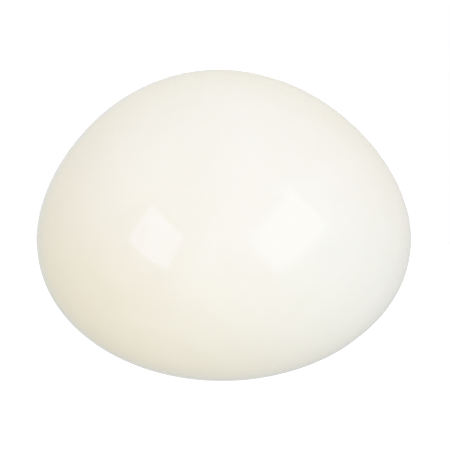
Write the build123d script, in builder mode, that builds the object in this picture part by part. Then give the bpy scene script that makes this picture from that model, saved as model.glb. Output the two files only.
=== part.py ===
from build123d import *

import os
from math import cos, radians, sin

# An oval table ball of cast resin, lying on its flatter side with its long axis along X.
# The origin is the middle of the footprint, on the surface that the ball rests on.

# Driving dimensions, in millimetres and degrees
length = 68.7  # end to end, along X
depth = 57.15  # front to back, along Y
height = 57.15  # from the resting surface to the crown
crown_taper = 0.041  # share of the radius by which the crown is drawn out and its shoulders in
end_fullness = 0.011  # share of the radius by which crown and underside are rounded out
crown_lean = 3.3  # tilt of the crown's axis towards -X, before the ball is stretched
core_diameter = 38.0
core_height = height / 2  # middle of the core above the resting surface
outline_spans = 12  # even spans of the outline from crown to underside


def ball_radius(angle):
    """Radius of the unstretched ball of radius 1, at an angle in degrees down from the crown."""
    c = cos(radians(angle))
    taper = (5 * c**3 - 3 * c) / 2
    fullness = (35 * c**4 - 30 * c**2 + 3) / 8
    return 1 + crown_taper * taper + end_fullness * fullness


def outline_point(angle):
    """Point of the half outline, across and along the crown's axis."""
    r = ball_radius(angle)
    return (r * sin(radians(angle)), r * cos(radians(angle)))


outline = [outline_point(180 * i / outline_spans) for i in range(1, outline_spans)]
crown = (0, ball_radius(0))
underside = (0, -ball_radius(180))

# The upright plane through the long axis, turned until its local Y is the crown's axis
leaning_plane = Plane.XZ.rotated((0, -crown_lean, 0))

# Round, unstretched form: the half outline spun about the crown's axis
with BuildPart() as round_form:
    with BuildSketch(leaning_plane):
        with BuildLine():
            Spline(crown, *outline, underside, tangents=((1, 0), (-1, 0)), tangent_scalars=(1, 1))
            Line(underside, crown)
        make_face()
    revolve(axis=Axis(leaning_plane.origin, leaning_plane.y_dir))

# Oval form: stretched to the three overall sizes
round_box = round_form.part.bounding_box()
stretch = (length / round_box.size.X, depth / round_box.size.Y, height / round_box.size.Z)
with BuildPart() as oval_form:
    scale(round_form.part, by=stretch)
oval_box = oval_form.part.bounding_box()

# Second pour: the whole outside, cast around the core and bonded to it with no gap
with BuildPart() as outer_body:
    with Locations((-oval_box.center().X, -oval_box.center().Y, -oval_box.min.Z)):
        add(oval_form.part)
    with Locations((0, 0, core_height)):
        Sphere(core_diameter / 2, mode=Mode.SUBTRACT)
outer_body.part.label = "outer_body"

# First pour: the filled-resin ball in the middle
with BuildPart() as core:
    with Locations((0, 0, core_height)):
        Sphere(core_diameter / 2)
core.part.label = "core"

os.makedirs("parts", exist_ok=True)
export_step(outer_body.part, "parts/outer_body.step")
export_step(core.part, "parts/core.step")
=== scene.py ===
import math

import bpy
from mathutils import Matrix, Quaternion, Vector


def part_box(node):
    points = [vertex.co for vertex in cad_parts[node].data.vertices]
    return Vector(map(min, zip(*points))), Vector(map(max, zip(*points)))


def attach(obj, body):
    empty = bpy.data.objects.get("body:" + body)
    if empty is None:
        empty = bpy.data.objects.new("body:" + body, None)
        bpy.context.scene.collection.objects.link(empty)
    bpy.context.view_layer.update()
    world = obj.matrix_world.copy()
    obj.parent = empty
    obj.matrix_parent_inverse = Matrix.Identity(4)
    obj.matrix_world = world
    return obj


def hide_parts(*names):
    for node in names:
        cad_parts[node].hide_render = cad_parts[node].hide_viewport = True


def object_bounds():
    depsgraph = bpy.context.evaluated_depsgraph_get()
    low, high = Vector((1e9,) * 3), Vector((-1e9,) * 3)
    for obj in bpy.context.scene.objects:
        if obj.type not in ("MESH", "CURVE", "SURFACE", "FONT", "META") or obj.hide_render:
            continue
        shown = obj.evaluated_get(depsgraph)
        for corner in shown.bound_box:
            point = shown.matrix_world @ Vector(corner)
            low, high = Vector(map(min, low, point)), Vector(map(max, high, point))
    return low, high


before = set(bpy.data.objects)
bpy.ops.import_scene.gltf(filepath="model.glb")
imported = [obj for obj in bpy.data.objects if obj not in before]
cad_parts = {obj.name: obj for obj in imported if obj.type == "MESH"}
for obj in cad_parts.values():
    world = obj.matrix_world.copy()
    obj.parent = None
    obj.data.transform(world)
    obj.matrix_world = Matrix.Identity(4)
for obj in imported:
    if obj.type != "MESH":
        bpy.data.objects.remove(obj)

CAD_LOW, CAD_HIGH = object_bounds()
MIDDLE = (CAD_LOW + CAD_HIGH) / 2

# The ball's outline, as shares of its radius, and the lean of its crown
CROWN_TAPER = 0.041
END_FULLNESS = 0.011
CROWN_LEAN = math.radians(3.3)

# Fineness of the shapes
OUTLINE_SPANS = 180
SPIN_STEPS = 360
SKIN_CUTS = 63  # cuts across each side of the cube that the polished skin starts from
HOLLOW_CUTS = 23
START_CUBE = 2  # side of the cube that is blown round, before it is fitted to its box
START_SHEET = 0.1  # side of the sheet that is merged into the outline's first point
JOIN_GAP = 1e-5  # points nearer than this are one, on the ball of radius 1

# Ivory resin: sizes in metres, colours as shares of red, green and blue light given back
CREAM = (0.8, 0.75, 0.62, 1)
CLEAR_WHITE = (0.82, 0.77, 0.65, 1)
POUR_DRIFTS = (0.02, 0.02, 0.02)
POUR_WISPS = (0.007, 0.007, 0.012)
BUFFING_TURNS = ((0.3, 0.5, 0), (1.4, 0.2, 0.9), (0.8, 1.2, 2.2))
BUFFING_MARK = (0.012, 0.00018, 0.012)
BUFFING_PATCH = (0.01, 0.004, 0.01)
WAVES = (0.009, 0.009, 0.009)
HAZE = (0.014, 0.014, 0.014)
WAVE_DEPTH = 0.000008
MARK_DEPTH = 0.0000004
POLISH = 0.04
POLISH_HAZE = 0.02
MARK_DULLNESS = 0.05
DRIFT_SHARE = 0.7  # how much of the tint follows the drifts, the rest following the wisps
TINT_ENDS = (0.3, 0.7)
HAIRLINE_ENDS = (0.62, 0.72)
PATCH_ENDS = (0.45, 0.65)
WISP_TURN = (0.4, 0.9, 0)
IVORY_IOR = 1.55
IVORY_DEPTH_SHARE = 0.15  # share of the light that goes into the resin and comes back out
IVORY_DEPTH = 0.0015
IVORY_DEPTH_COLOUR = (1, 0.85, 0.6)

# Filled resin
FILLER_DARK = (0.5, 0.45, 0.37, 1)
FILLER_LIGHT = (0.68, 0.64, 0.56, 1)
GRAIN_WHITE = (0.82, 0.8, 0.75, 1)
GRAIN_GREY = (0.3, 0.28, 0.25, 1)
# painted shade: the dark colour laid into the pores stands in for the shade inside them
PAINTED_PORE_SHADE = (0.2, 0.17, 0.13, 1)
FILLER_MOTTLE = (0.006, 0.006, 0.006)
FILLER_GRAIN = (0.0006, 0.0006, 0.0006)
FILLER_GRIT = (0.0003, 0.0003, 0.0003)
PORE_SPACING = (0.0022, 0.0022, 0.0022)
FILLER_DULLNESS = 0.55
GRIT_DEPTH = 0.00003
PORE_DEPTH = 0.00015
MOTTLE_ENDS = (0.35, 0.65)
WHITE_GRAIN_ENDS = (0.8, 0.9)
GREY_GRAIN_ENDS = (0.1, 0.16)
GREY_GRAIN_SHARE = 0.6
PORE_ENDS = (0.1, 0.16)
# how strongly the painted shade darkens the pores
PAINTED_PORE_SHADE_SHARE = 0.6
GRIT_DULLNESS = 0.15
FILLER_IOR = 1.52

# The set, in metres and degrees
FLOOR_SIZE = 8.0
CAMERA_DISTANCE = 0.62
FRAME_WIDTH = 0.0825  # what the frame takes in across the ball's middle
CAMERA_SLIDE = 0.00014  # to the right, so that the ball sits a little left of the frame's middle
SENSOR_WIDTH = 36.0  # millimetres
SOFTBOX_DISTANCE = 1.6
SOFTBOXES = (
    # name, azimuth, elevation, skew, roll, width and height, share that fades, colour, strength
    ("left_softbox", -36, 1, -4, -12, (33, 53), 0.05, (0.7, 0.7, 1, 1), 2.6),
    ("right_softbox", 34.5, 4.5, 20, 20, (44, 72), 0.12, (0.8, 0.85, 1, 1), 2.3),
    ("back_softbox", 174, 5, 10, 12, (20, 28), 0.05, (0.95, 0.95, 1, 1), 2.5),
)
FLOOR_WHITE = (0.45, 0.45, 0.45, 1)
FLOOR_GLOW = 0.8
AIR = (0.45, 0.35, 0.15, 1)  # light from every side
LOBE_EDGE = -0.4  # cosine, from a lobe's own direction, at which its light fades out
AIR_LOBES = (
    # direction that it comes from, colour
    ((1, -1, -1), (0.35, 0.5, 0.8, 1)),  # in front, low and to the right
    ((0, 0, 1), (0.4, 0.3, 0.1, 1)),  # overhead
    ((-1, 1, 1), (0.1, 0.25, 0.5, 1)),  # behind, high and to the left
    ((-1, -1, -1), (0.25, 0.2, 0, 1)),  # in front, low and to the left
    ((0, -1, 1), (0.1, 0.25, 0.6, 1)),  # in front and high
    ((1, 1, -1), (0.1, 0.15, 0.25, 1)),  # behind, low and to the right
)


# ---------------------------------------------------------------- modelling by hand


def deselect_all():
    """Nothing selected, so that the next operator acts on its own piece alone."""
    if bpy.context.object and bpy.context.object.mode != "OBJECT":
        bpy.ops.object.mode_set(mode="OBJECT")
    bpy.ops.object.select_all(action="DESELECT")


def pick(piece):
    """Makes one piece the selected and active one."""
    deselect_all()
    piece.select_set(True)
    bpy.context.view_layer.objects.active = piece


def start_piece(name, add, **values):
    """A primitive, added and left in edit mode with all of it selected."""
    deselect_all()
    add(**values)
    piece = bpy.context.object
    piece.name = piece.data.name = name
    bpy.ops.object.mode_set(mode="EDIT")
    bpy.ops.mesh.select_all(action="SELECT")
    return piece


def apply_modifier(piece, kind, **settings):
    """Adds one modifier, sets it and applies it."""
    pick(piece)
    modifier = piece.modifiers.new(kind.title(), kind)
    for key, value in settings.items():
        setattr(modifier, key, value)
    bpy.ops.object.modifier_apply(modifier=modifier.name)


def fit_to_box(piece, low, high):
    """Stretches and moves the mesh being edited until it fills the box from low to high."""
    bpy.ops.object.mode_set(mode="OBJECT")
    corners = [Vector(c) for c in piece.bound_box]
    least = Vector(map(min, *corners))
    most = Vector(map(max, *corners))
    stretch = [(h - l) / (b - a) for l, h, a, b in zip(low, high, least, most)]
    bpy.ops.object.mode_set(mode="EDIT")
    bpy.ops.mesh.select_all(action="SELECT")
    bpy.ops.transform.resize(value=stretch, center_override=(least + most) / 2)
    bpy.ops.transform.translate(value=(low + high - least - most) / 2)
    bpy.ops.object.mode_set(mode="OBJECT")


def round_cube(name, cuts, low, high):
    """A ball of even four-sided faces that fills a box: a cube, cut up and blown round."""
    piece = start_piece(name, bpy.ops.mesh.primitive_cube_add, size=START_CUBE)
    bpy.ops.mesh.subdivide(number_cuts=cuts)
    bpy.ops.mesh.select_all(action="SELECT")
    bpy.ops.transform.tosphere(value=1)
    fit_to_box(piece, low, high)
    return piece


# ---------------------------------------------------------------- the ball


def ball_radius(angle):
    """Radius of the unstretched ball of radius 1, at an angle down from the crown."""
    c = math.cos(angle)
    taper = (5 * c**3 - 3 * c) / 2
    fullness = (35 * c**4 - 30 * c**2 + 3) / 8
    return 1 + CROWN_TAPER * taper + END_FULLNESS * fullness


def turned_form(low, high):
    """The exact ball: its half outline spun on the crown's axis, leaned, and stretched to the box."""
    form = start_piece("turned_form", bpy.ops.mesh.primitive_plane_add, size=START_SHEET)
    bpy.ops.mesh.merge(type="CENTER")
    place = Vector()
    for i in range(OUTLINE_SPANS + 1):
        angle = math.pi * i / OUTLINE_SPANS
        point = ball_radius(angle) * Vector((math.sin(angle), 0, math.cos(angle)))
        if i == 0:
            bpy.ops.transform.translate(value=point)
        else:
            bpy.ops.mesh.extrude_region_move(TRANSFORM_OT_translate={"value": point - place})
        place = point
    bpy.ops.mesh.select_all(action="SELECT")
    bpy.ops.mesh.spin(steps=SPIN_STEPS, angle=math.tau, center=(0, 0, 0), axis=(0, 0, 1))
    bpy.ops.mesh.select_all(action="SELECT")
    bpy.ops.mesh.remove_doubles(threshold=JOIN_GAP)
    bpy.ops.transform.rotate(value=CROWN_LEAN, orient_axis="Y", center_override=(0, 0, 0))
    fit_to_box(form, low, high)
    return form


def polished_body():
    """The second pour: the whole polished outside, and the round hollow that the core fills."""
    low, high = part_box("outer_body")
    body = round_cube("polished_body", SKIN_CUTS, low, high)
    form = turned_form(low, high)
    apply_modifier(body, "SHRINKWRAP", target=form, wrap_method="NEAREST_SURFACEPOINT")
    bpy.data.objects.remove(form)
    pick(body)
    bpy.ops.object.mode_set(mode="EDIT")
    bpy.ops.mesh.select_all(action="SELECT")
    bpy.ops.mesh.normals_make_consistent(inside=False)
    hollow = round_cube("hollow", HOLLOW_CUTS, *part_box("core"))
    bpy.ops.object.mode_set(mode="EDIT")
    bpy.ops.mesh.select_all(action="SELECT")
    bpy.ops.mesh.normals_make_consistent(inside=True)
    pick(body)
    hollow.select_set(True)
    bpy.ops.object.join()
    bpy.ops.object.shade_smooth()
    return body


# ---------------------------------------------------------------- recipes of nodes


class Level:
    """What a node gives, a number or a colour. Numbers can be added, taken away and multiplied."""

    def __init__(self, recipe, socket):
        self.recipe = recipe
        self.socket = socket

    def worked(self, operation, first, second):
        return self.recipe.node("ShaderNodeMath", {"operation": operation}, {0: first, 1: second})

    def __add__(self, other):
        return self.worked("ADD", self, other)

    def __sub__(self, other):
        return self.worked("SUBTRACT", self, other)

    def __rsub__(self, other):
        return self.worked("SUBTRACT", other, self)

    def __mul__(self, other):
        return self.worked("MULTIPLY", self, other)

    __radd__ = __add__
    __rmul__ = __mul__


MIX_INPUTS = (0, 6, 7)  # the Mix node's amount and two colours, whose names it gives more than once
MIX_OUTPUT = 2


class Recipe:
    """The node tree of one material or of the world, emptied and then filled node by node."""

    def __init__(self, owner):
        owner.use_nodes = True
        self.owner = owner
        self.tree = owner.node_tree
        self.tree.nodes.clear()

    def node(self, kind, settings=None, values=None, output=0):
        """Adds a node, sets it, fills its sockets with values or links, and gives one output."""
        made = self.tree.nodes.new(kind)
        for key, value in (settings or {}).items():
            setattr(made, key, value)
        for key, value in (values or {}).items():
            if isinstance(value, Level):
                self.tree.links.new(value.socket, made.inputs[key])
            else:
                made.inputs[key].default_value = value
        return Level(self, made.outputs[output]) if made.outputs else None

    def place(self, grain, turn=(0, 0, 0)):
        """A point's place on the piece, from the ball's middle along turned axes, counted in grains."""
        point = self.node("ShaderNodeTexCoord", output="Object")
        values = {"Vector": point, "Location": MIDDLE, "Rotation": turn, "Scale": grain}
        return self.node("ShaderNodeMapping", {"vector_type": "TEXTURE"}, values)

    def cells(self, grain, output):
        """Scattered cells, one grain apart: a chance colour for each, or the distance from its middle."""
        return self.node("ShaderNodeTexVoronoi", {}, {"Vector": self.place(grain), "Scale": 1}, output)

    def cloud(self, place, detail=2.0, roughness=0.5, distortion=0.0):
        """Soft random lumps, from 0 to 1, one grain across."""
        values = {"Vector": place, "Scale": 1, "Detail": detail}
        values |= {"Roughness": roughness, "Distortion": distortion}
        return self.node("ShaderNodeTexNoise", {}, values)

    def ramp(self, level, start, end, low=0.0, high=1.0):
        """Low up to start, high from end on, and smooth between."""
        values = {"Value": level, "From Min": start, "From Max": end, "To Min": low, "To Max": high}
        return self.node("ShaderNodeMapRange", {"interpolation_type": "SMOOTHSTEP"}, values)

    def mix(self, amount, first, second, way="MIX"):
        """One colour turning into another, or having it added, as the amount goes from 0 to 1."""
        settings = {"data_type": "RGBA", "blend_type": way}
        values = dict(zip(MIX_INPUTS, (amount, first, second)))
        return self.node("ShaderNodeMix", settings, values, MIX_OUTPUT)

    def bump(self, height, depth):
        """The normal over a relief whose height runs from 0 to 1 and stands for a depth in metres."""
        return self.node("ShaderNodeBump", {}, {"Strength": 1, "Distance": depth, "Height": height})

    def resin(self, **values):
        """The shader and the end of the recipe."""
        values = {key.replace("_", " "): value for key, value in values.items()}
        shader = self.node("ShaderNodeBsdfPrincipled", {}, values)
        self.node("ShaderNodeOutputMaterial", {}, {"Surface": shader})


# ---------------------------------------------------------------- materials


def ivory_resin():
    """Ivory-white resin, cast, ground and buffed: faintly cloudy, with hairline buffing marks."""
    recipe = Recipe(bpy.data.materials.new("ivory_resin"))

    drifts = recipe.cloud(recipe.place(POUR_DRIFTS), detail=3, roughness=0.6, distortion=0.8)
    wisps = recipe.cloud(recipe.place(POUR_WISPS, WISP_TURN), detail=4, roughness=0.6, distortion=1.5)
    tint = recipe.ramp(DRIFT_SHARE * drifts + (1 - DRIFT_SHARE) * wisps, *TINT_ENDS)
    colour = recipe.mix(tint, CREAM, CLEAR_WHITE)

    marks = 0.0
    for turn in BUFFING_TURNS:
        hair = recipe.cloud(recipe.place(BUFFING_MARK, turn), detail=1)
        patch = recipe.cloud(recipe.place(BUFFING_PATCH, turn))
        marks = marks + recipe.ramp(hair, *HAIRLINE_ENDS) * recipe.ramp(patch, *PATCH_ENDS)
    orange_peel = recipe.cloud(recipe.place(WAVES), detail=1)
    haze = recipe.cloud(recipe.place(HAZE), detail=2)
    relief = orange_peel * WAVE_DEPTH - marks * MARK_DEPTH
    recipe.resin(
        Base_Color=colour,
        Roughness=POLISH + POLISH_HAZE * haze + MARK_DULLNESS * marks,
        Normal=recipe.bump(relief, 1),
        IOR=IVORY_IOR,
        Subsurface_Weight=IVORY_DEPTH_SHARE,
        Subsurface_Radius=IVORY_DEPTH_COLOUR,
        Subsurface_Scale=IVORY_DEPTH,
    )
    return recipe.owner


def filled_resin():
    """Resin thick with mineral powder: dull, speckled light and dark, with small air pores whose insides
    are darkened by painted shade.
    """
    recipe = Recipe(bpy.data.materials.new("filled_resin"))
    mottle = recipe.cloud(recipe.place(FILLER_MOTTLE), detail=4, roughness=0.65)
    colour = recipe.mix(recipe.ramp(mottle, *MOTTLE_ENDS), FILLER_DARK, FILLER_LIGHT)
    grains = recipe.cells(FILLER_GRAIN, "Color")
    shade = recipe.node("ShaderNodeSeparateColor", {}, {"Color": grains})
    colour = recipe.mix(recipe.ramp(shade, *WHITE_GRAIN_ENDS), colour, GRAIN_WHITE)
    colour = recipe.mix(recipe.ramp(shade, *GREY_GRAIN_ENDS, GREY_GRAIN_SHARE, 0), colour, GRAIN_GREY)
    pore = recipe.ramp(recipe.cells(PORE_SPACING, "Distance"), *PORE_ENDS, 1, 0)
    # painted shade: each pore is darkened where shade would fall inside it
    colour = recipe.mix(PAINTED_PORE_SHADE_SHARE * pore, colour, PAINTED_PORE_SHADE)
    grit = recipe.cloud(recipe.place(FILLER_GRIT), detail=3)
    recipe.resin(
        Base_Color=colour,
        Roughness=FILLER_DULLNESS + GRIT_DULLNESS * grit,
        Normal=recipe.bump(grit * GRIT_DEPTH - pore * PORE_DEPTH, 1),
        IOR=FILLER_IOR,
    )
    return recipe.owner


# ---------------------------------------------------------------- the pieces


body = polished_body()
body.data.materials.append(ivory_resin())
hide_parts("outer_body")
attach(body, "root")

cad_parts["core"].material_slots[0].material = filled_resin()


# ---------------------------------------------------------------- camera, floor and light


def glow(name, fade, colour, strength):
    """Light from a four-cornered sheet that thins to nothing towards its edges."""
    recipe = Recipe(bpy.data.materials.new(name))
    point = recipe.node("ShaderNodeTexCoord", output="UV")
    centred = {"Vector": point, "Location": (0.5, 0.5, 0), "Scale": (0.5, 0.5, 1)}
    point = recipe.node("ShaderNodeMapping", {"vector_type": "TEXTURE"}, centred)
    reach = 0.0
    for axis in "XY":
        side = recipe.node("ShaderNodeSeparateXYZ", {}, {0: point}, axis)
        reach = reach + recipe.node("ShaderNodeMath", {"operation": "ABSOLUTE"}, {0: side})
    lit = recipe.ramp(reach, 1 - fade, 1, 1, 0)
    clear = recipe.node("ShaderNodeBsdfTransparent")
    bright = recipe.node("ShaderNodeEmission", {}, {"Color": colour, "Strength": strength})
    shader = recipe.node("ShaderNodeMixShader", {}, {0: lit, 1: clear, 2: bright})
    recipe.node("ShaderNodeOutputMaterial", {}, {"Surface": shader})
    return recipe.owner


def softbox(name, azimuth, elevation, skew, roll, spread, fade, colour, strength):
    """A diamond-shaped lamp turned towards the ball, with its place, width and height in degrees."""
    half_size = [SOFTBOX_DISTANCE * math.tan(math.radians(degrees / 2)) for degrees in spread]
    add = bpy.ops.mesh.primitive_circle_add
    lamp = start_piece(name, add, vertices=4, radius=1, fill_type="NGON")
    bpy.ops.transform.rotate(value=math.radians(skew), orient_axis="Z", center_override=(0, 0, 0))
    bpy.ops.transform.resize(value=(*half_size, 1), center_override=(0, 0, 0))
    bpy.ops.object.mode_set(mode="OBJECT")
    turn, rise = math.radians(azimuth), math.radians(elevation)
    away = Vector((math.sin(turn) * math.cos(rise), -math.cos(turn) * math.cos(rise), math.sin(rise)))
    lamp.location = MIDDLE + SOFTBOX_DISTANCE * away
    facing = (-away).to_track_quat("Z", "Y")
    lamp.rotation_euler = (facing @ Quaternion((0, 0, 1), math.radians(roll))).to_euler()
    lamp.data.materials.append(glow(name, fade, colour, strength))
    lamp.visible_camera = False


def floor():
    """A plain pale sheet, wider than the view. It takes the ball's shadow and throws no light back."""
    sheet = start_piece("floor", bpy.ops.mesh.primitive_plane_add, size=FLOOR_SIZE)
    bpy.ops.object.mode_set(mode="OBJECT")
    recipe = Recipe(bpy.data.materials.new("floor"))
    recipe.resin(
        Base_Color=FLOOR_WHITE,
        Roughness=1,
        Specular_IOR_Level=0,
        Emission_Color=(1, 1, 1, 1),
        Emission_Strength=FLOOR_GLOW,
    )
    sheet.data.materials.append(recipe.owner)
    sheet.visible_diffuse = False
    sheet.visible_glossy = False
    sheet.visible_shadow = False


def air():
    """Light from all round, tinted and stronger from some sides. The camera sees a plain white ground."""
    world = bpy.data.worlds.new("air")
    bpy.context.scene.world = world
    recipe = Recipe(world)
    towards = recipe.node("ShaderNodeTexCoord", output="Generated")
    light = AIR
    for direction, colour in AIR_LOBES:
        facing = {0: towards, 1: Vector(direction).normalized()}
        level = recipe.node("ShaderNodeVectorMath", {"operation": "DOT_PRODUCT"}, facing, "Value")
        light = recipe.mix(recipe.ramp(level, LOBE_EDGE, 1), light, colour, "ADD")
    around = recipe.node("ShaderNodeBackground", {}, {"Color": light})
    ground = recipe.node("ShaderNodeBackground", {}, {"Color": (1, 1, 1, 1)})
    seen = recipe.node("ShaderNodeLightPath", output="Is Camera Ray")
    shader = recipe.node("ShaderNodeMixShader", {}, {0: seen, 1: around, 2: ground})
    recipe.node("ShaderNodeOutputWorld", {}, {"Surface": shader})


def camera():
    """Level with the ball's middle and square to its long axis."""
    data = bpy.data.cameras.new("camera")
    data.sensor_width = SENSOR_WIDTH
    data.lens = SENSOR_WIDTH * CAMERA_DISTANCE / FRAME_WIDTH
    stand = bpy.data.objects.new("camera", data)
    stand.location = MIDDLE + Vector((CAMERA_SLIDE, -CAMERA_DISTANCE, 0))
    stand.rotation_euler = (math.radians(90), 0, 0)
    bpy.context.scene.collection.objects.link(stand)
    bpy.context.scene.camera = stand


floor()
for values in SOFTBOXES:
    softbox(*values)
air()
camera()
bpy.context.scene.view_settings.view_transform = "Standard"
